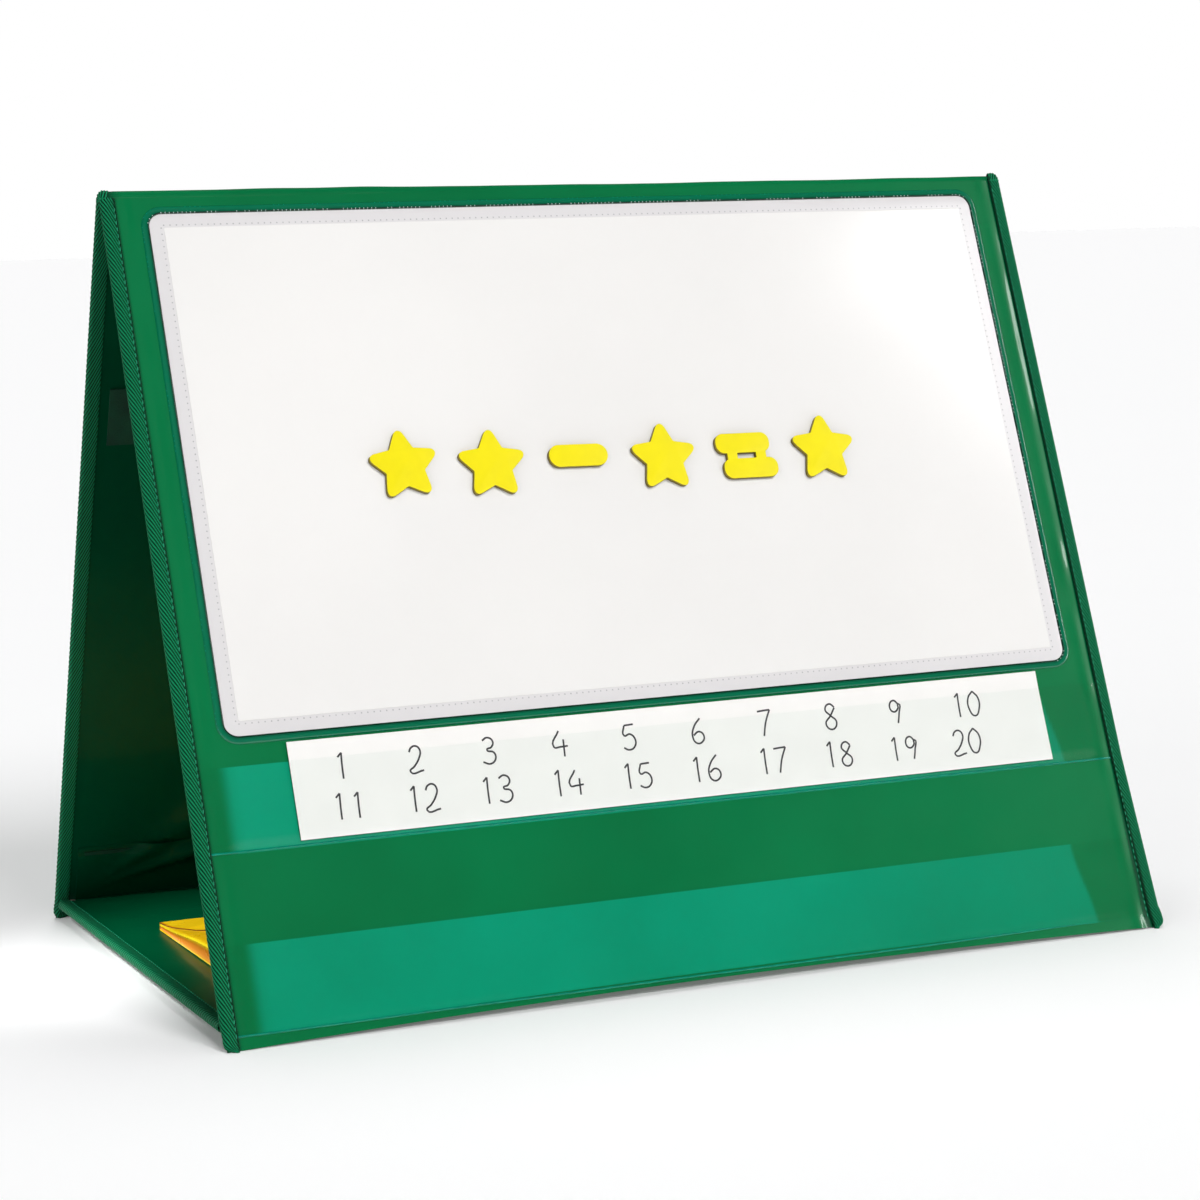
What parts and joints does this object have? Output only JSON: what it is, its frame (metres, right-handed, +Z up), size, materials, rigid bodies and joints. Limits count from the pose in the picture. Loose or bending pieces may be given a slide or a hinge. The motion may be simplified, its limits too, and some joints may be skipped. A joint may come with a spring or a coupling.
{
  "type": "tabletop pocket chart",
  "caption": "Tent-shaped tabletop chart of three vinyl-covered boards with a magnetic write-on face, clear pockets, a card strip, foam magnets and a storage pouch.",
  "frame": {"origin": "on the table, under the middle of the tent", "axes": "+X along the ridge, +Y from the write-on face to the back, +Z up"},
  "size_m": [0.52, 0.325, 0.4024],
  "materials": {
    "green_vinyl": "glossy vinyl film",
    "green_lining": "glossy vinyl film",
    "binding_tape": "ribbed twill tape",
    "board": "grey board",
    "steel": "thin sheet",
    "write_on_white": "smooth write-on film",
    "clear_vinyl": "clear film",
    "white_card": "matt card",
    "magnet_sheet": "flexible magnet sheet",
    "yellow_foam": "dense foam",
    "yellow_vinyl": "soft tinted vinyl",
    "hook_and_loop": "hook and loop tape"
  },
  "bodies": {
    "base": {"base_cover": "green_vinyl", "base_board": "board", "base_lining": "green_lining", "base_binding_left": "binding_tape", "base_binding_right": "binding_tape", "base_hinge_strip": "green_vinyl"},
    "front_panel": {"front_cover": "green_vinyl", "front_board": "board", "front_lining": "green_lining", "front_binding_left": "binding_tape", "front_binding_right": "binding_tape", "ridge_fold_vinyl": "green_vinyl", "steel_sheet": "steel", "write_on_sheet": "write_on_white", "clear_rim": "clear_vinyl", "upper_pocket": "clear_vinyl", "lower_pocket": "clear_vinyl"},
    "rear_panel": {"rear_cover": "green_vinyl", "rear_board": "board", "rear_lining": "green_lining", "rear_binding_left": "binding_tape", "rear_binding_right": "binding_tape", "rear_pocket_1": "clear_vinyl", "rear_pocket_2": "clear_vinyl", "rear_pocket_3": "clear_vinyl", "rear_pocket_4": "clear_vinyl", "rear_pocket_5": "clear_vinyl", "closure_loop_strip": "hook_and_loop", "storage_loop_band": "hook_and_loop"},
    "closure_flap": {"closure_flap": "green_vinyl", "closure_hook_strip": "hook_and_loop"},
    "sentence_strip": {"sentence_strip": "white_card"},
    "star_1": {"star_1_magnet": "magnet_sheet", "star_1_foam": "yellow_foam"},
    "star_2": {"star_2_magnet": "magnet_sheet", "star_2_foam": "yellow_foam"},
    "star_3": {"star_3_magnet": "magnet_sheet", "star_3_foam": "yellow_foam"},
    "star_4": {"star_4_magnet": "magnet_sheet", "star_4_foam": "yellow_foam"},
    "minus_sign": {"minus_magnet": "magnet_sheet", "minus_foam": "yellow_foam"},
    "equals_sign": {"equals_magnet": "magnet_sheet", "equals_foam": "yellow_foam"},
    "pouch": {"pouch_bag": "yellow_vinyl"},
    "pouch_flap": {"pouch_flap": "yellow_vinyl"}
  },
  "joints": [
    {"name": "front_fold", "type": "hinge", "parent": "base", "child": "front_panel", "pos_m": [0, -0.15468, 0.007], "axis": [1, 0, 0], "range_deg": [0, 111], "deforming": ["closure_flap", "closure_hook_strip"]},
    {"name": "ridge_fold", "type": "hinge", "parent": "front_panel", "child": "rear_panel", "pos_m": [0, 0, 0.3984], "axis": [-1, 0, 0], "range_deg": [0, 41.6]},
    {"name": "closure_flap_fold", "type": "hinge", "parent": "base", "child": "closure_flap", "pos_m": [0, 0.15065, 0.0103], "axis": [1, 0, 0], "range_deg": [0, 66]},
    {"name": "strip_slide", "type": "slide", "parent": "front_panel", "child": "sentence_strip", "axis": [0, 0.3675, 0.93], "range_m": [0, 0.06]},
    {"name": "star_1_lift", "type": "slide", "parent": "front_panel", "child": "star_1", "axis": [0, -0.93, 0.3675], "range_m": [0, 0.06]},
    {"name": "star_2_lift", "type": "slide", "parent": "front_panel", "child": "star_2", "axis": [0, -0.93, 0.3675], "range_m": [0, 0.06]},
    {"name": "star_3_lift", "type": "slide", "parent": "front_panel", "child": "star_3", "axis": [0, -0.93, 0.3675], "range_m": [0, 0.06]},
    {"name": "star_4_lift", "type": "slide", "parent": "front_panel", "child": "star_4", "axis": [0, -0.93, 0.3675], "range_m": [0, 0.06]},
    {"name": "minus_sign_lift", "type": "slide", "parent": "front_panel", "child": "minus_sign", "axis": [0, -0.93, 0.3675], "range_m": [0, 0.06]},
    {"name": "equals_sign_lift", "type": "slide", "parent": "front_panel", "child": "equals_sign", "axis": [0, -0.93, 0.3675], "range_m": [0, 0.06]},
    {"name": "pouch_slide", "type": "slide", "parent": "base", "child": "pouch", "axis": [-0.999, 0, 0.0436], "range_m": [0, 0.27]},
    {"name": "pouch_flap_turn", "type": "hinge", "parent": "pouch", "child": "pouch_flap", "pos_m": [-0.1145, 0.0591, 0.0225], "axis": [-1, 0, 0], "range_deg": [0, 165]}
  ],
  "couplings": [
    {"joint": "ridge_fold", "follows": "front_fold", "ratio": 0.3747}
  ]
}
